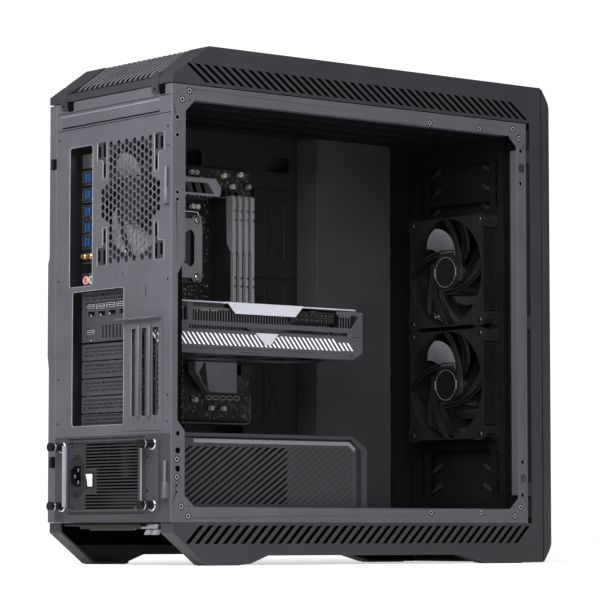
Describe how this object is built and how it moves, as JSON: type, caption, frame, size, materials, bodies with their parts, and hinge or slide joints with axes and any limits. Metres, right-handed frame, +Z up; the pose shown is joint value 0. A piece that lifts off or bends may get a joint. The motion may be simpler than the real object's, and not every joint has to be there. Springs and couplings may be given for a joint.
{
  "type": "desktop computer tower",
  "caption": "Full-height desktop computer tower with faceted slotted shells, an open window side showing board, graphics card, memory, three case fans and power supply cover.",
  "frame": {"origin": "on the floor, under the middle of the whole tower", "axes": "+Z up, -Y front cover, +Y rear sockets, -X open window side, +X closed side panel"},
  "size_m": [0.246, 0.6076, 0.5866],
  "materials": {
    "steel_frame": "satin dark graphite powder coat, very fine grain",
    "inner_steel": "satin black powder coat",
    "shell_coat": "fine textured dark grey moulding",
    "black_plastic": "moulded black plastic",
    "rubber": "matte black rubber",
    "bright_steel": "bright plated steel",
    "screw_steel": "black zinc screws",
    "magnet": "nickel plated magnet",
    "fan_black": "smoked black blade plastic",
    "fan_housing": "moulded fan housing",
    "pcb": "black solder mask",
    "silver_spreader": "anodised silver grey",
    "dark_aluminium": "dark anodised aluminium",
    "port_metal": "plated connector shells",
    "socket_steel": "nickel plated steel",
    "cpu_lid": "nickel plated copper",
    "connector_plastic": "connector plastic",
    "card_plastic": "graphics card shroud",
    "fin_aluminium": "raw fin stack",
    "white_switch": "white rocker",
    "light_bar": "milky light guide",
    "supply_case": "fine textured black",
    "supply_board": "circuit board with parts"
  },
  "bodies": {
    "chassis": {"side_rails": "steel_frame", "side_post_front": "steel_frame", "side_post_rear": "steel_frame", "rear_panel": "steel_frame", "rear_lower_frame": "steel_frame", "right_frame": "inner_steel", "front_bulkhead": "inner_steel", "roof_plate": "inner_steel", "floor_plate": "inner_steel", "motherboard_tray": "inner_steel", "cable_cover": "inner_steel", "top_shell": "shell_coat", "base_skirts": "shell_coat", "base_pan": "inner_steel", "foot_pads": "rubber", "front_frame": "shell_coat", "front_cover": "shell_coat", "front_dust_filter": "black_plastic", "door_magnets": "magnet", "door_hinge_pins": "bright_steel", "case_screws": "screw_steel", "psu_case": "supply_case", "psu_bracket": "steel_frame", "thumb_screws": "screw_steel", "power_inlet": "connector_plastic", "switch_housing": "connector_plastic", "psu_board": "supply_board", "fan_frames": "fan_housing", "psu_cover": "inner_steel", "psu_cover_grille": "black_plastic", "psu_cover_light": "light_bar", "main_board": "pcb", "rear_ports": "port_metal", "board_heatsinks": "dark_aluminium", "cpu_socket": "socket_steel", "processor": "cpu_lid", "memory_slots": "connector_plastic", "memory_modules": "silver_spreader", "board_sockets": "connector_plastic", "card_board": "pcb", "card_backplate": "silver_spreader", "card_heatsink": "fin_aluminium", "card_shroud": "card_plastic", "card_bracket": "bright_steel", "slot_covers": "steel_frame", "upright_slot_bracket": "steel_frame"},
    "rear_fan": {"rear_fan": "fan_black"},
    "front_fan_upper": {"front_fan_upper": "fan_black"},
    "front_fan_lower": {"front_fan_lower": "fan_black"},
    "card_fan_rear": {"card_fan_rear": "fan_black"},
    "card_fan_middle": {"card_fan_middle": "fan_black"},
    "card_fan_front": {"card_fan_front": "fan_black"},
    "psu_fan": {"psu_fan": "fan_black"},
    "power_switch": {"power_switch": "white_switch"},
    "power_button": {"power_button": "black_plastic"},
    "side_panel": {"right_side_panel": "steel_frame"},
    "top_lid": {"top_grille": "shell_coat"},
    "bottom_filter": {"bottom_dust_filter": "black_plastic"},
    "socket_lever": {"socket_lever": "socket_steel"},
    "load_plate": {"socket_load_plate": "socket_steel"}
  },
  "joints": [
    {"name": "front_fan_upper_spin", "type": "hinge", "parent": "chassis", "child": "front_fan_upper", "pos_m": [-0.0128, -0.23525, 0.3615], "axis": [0, 1, 0], "continuous": true},
    {"name": "front_fan_lower_spin", "type": "hinge", "parent": "chassis", "child": "front_fan_lower", "pos_m": [-0.0128, -0.23525, 0.2204], "axis": [0, 1, 0], "continuous": true},
    {"name": "rear_fan_spin", "type": "hinge", "parent": "chassis", "child": "rear_fan", "pos_m": [-0.0426, 0.26925, 0.415], "axis": [0, 1, 0], "continuous": true},
    {"name": "card_fan_rear_spin", "type": "hinge", "parent": "chassis", "child": "card_fan_rear", "pos_m": [-0.0014, 0.21075, 0.25], "axis": [0, 0, 1], "continuous": true},
    {"name": "card_fan_middle_spin", "type": "hinge", "parent": "chassis", "child": "card_fan_middle", "pos_m": [-0.0014, 0.11575, 0.25], "axis": [0, 0, 1], "continuous": true},
    {"name": "card_fan_front_spin", "type": "hinge", "parent": "chassis", "child": "card_fan_front", "pos_m": [-0.0014, 0.02075, 0.25], "axis": [0, 0, 1], "continuous": true},
    {"name": "psu_fan_spin", "type": "hinge", "parent": "chassis", "child": "psu_fan", "pos_m": [0.0036, 0.20275, 0.0715], "axis": [0, 0, 1], "continuous": true},
    {"name": "power_switch_tilt", "type": "hinge", "parent": "chassis", "child": "power_switch", "pos_m": [0.0351, 0.28045, 0.097], "axis": [1, 0, 0], "range_deg": [0, 16]},
    {"name": "power_button_press", "type": "slide", "parent": "chassis", "child": "power_button", "axis": [0, 0, -1], "range_m": [0, 0.0016], "stiffness_N_per_m": 800, "springref_m": -0.0008},
    {"name": "side_panel_pull", "type": "slide", "parent": "chassis", "child": "side_panel", "axis": [1, 0, 0], "range_m": [0, 0.12]},
    {"name": "top_lid_lift", "type": "slide", "parent": "chassis", "child": "top_lid", "axis": [0, 0, 1], "range_m": [0, 0.12]},
    {"name": "bottom_filter_slide", "type": "slide", "parent": "chassis", "child": "bottom_filter", "axis": [0, 1, 0], "range_m": [0, 0.32]},
    {"name": "socket_lever_lift", "type": "hinge", "parent": "chassis", "child": "socket_lever", "pos_m": [0.0672, 0.10305, 0.422], "axis": [0, 1, 0], "range_deg": [0, 110]},
    {"name": "load_plate_open", "type": "hinge", "parent": "chassis", "child": "load_plate", "pos_m": [0.0655, 0.14075, 0.42], "axis": [0, 1, 0], "range_deg": [0, 95]}
  ]
}
